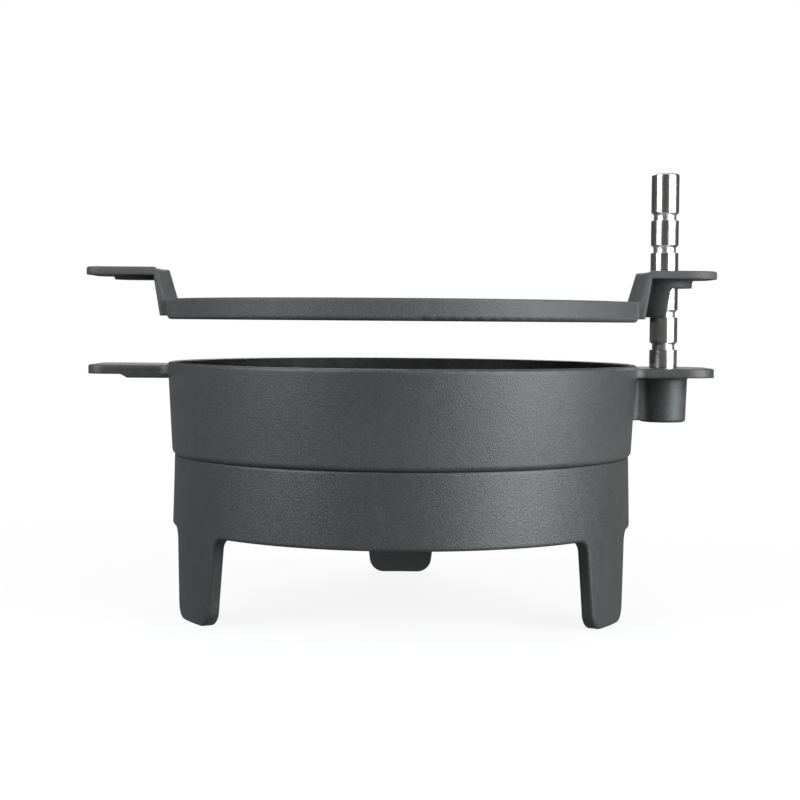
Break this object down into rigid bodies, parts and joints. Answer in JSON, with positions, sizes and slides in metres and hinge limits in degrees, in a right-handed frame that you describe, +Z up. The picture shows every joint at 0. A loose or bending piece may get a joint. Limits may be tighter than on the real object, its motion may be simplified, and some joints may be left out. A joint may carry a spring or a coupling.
{
  "type": "round cast iron table grill",
  "caption": "Round cast-iron charcoal table grill: fire bowl on a three-legged base ring, and a handled cooking grate that hangs on a notched steel post at its side.",
  "frame": {"origin": "on the table, below the fire bowl's axis", "axes": "+Z up; +X from the bowl's axis towards the post; +Y away from the viewer"},
  "size_m": [0.4532, 0.3408, 0.3168],
  "materials": {
    "base_iron": "satin",
    "bowl_iron": "satin",
    "grate_iron": "satin",
    "coal_grate_iron": "matte",
    "post_steel": "polished",
    "pan_steel": "matte",
    "damper_steel": "satin",
    "fastener_steel": "satin"
  },
  "bodies": {
    "base": {"base_casting": "base_iron", "ash_pan": "pan_steel"},
    "bowl": {"fire_bowl": "bowl_iron", "damper_screw": "fastener_steel", "damper_washer": "fastener_steel", "damper_spring_washer": "fastener_steel", "damper_nut": "fastener_steel"},
    "damper": {"damper_disc": "damper_steel", "damper_lever": "damper_steel", "damper_rivets": "fastener_steel"},
    "coal_tray": {"charcoal_grate": "coal_grate_iron"},
    "post": {"post": "post_steel", "post_screw": "fastener_steel", "post_washer": "fastener_steel", "post_lock_washer": "fastener_steel"},
    "grate": {"cooking_grate": "grate_iron"}
  },
  "joints": [
    {"name": "bowl_lift", "type": "slide", "parent": "base", "child": "bowl", "axis": [0, 0, 1], "range_m": [0, 0.12]},
    {"name": "damper_turn", "type": "hinge", "parent": "bowl", "child": "damper", "pos_m": [0, 0, 0.1112], "axis": [0, 0, 1], "range_deg": [0, 30]},
    {"name": "coal_tray_lift", "type": "slide", "parent": "bowl", "child": "coal_tray", "axis": [0, 0, 1], "range_m": [0, 0.04]},
    {"name": "post_turn", "type": "hinge", "parent": "bowl", "child": "post", "pos_m": [0.191, 0, 0.16], "axis": [0, 0, 1], "continuous": true},
    {"name": "grate_height", "type": "slide", "parent": "post", "child": "grate", "axis": [0, 0, 1], "range_m": [-0.0235, 0.0705]}
  ]
}
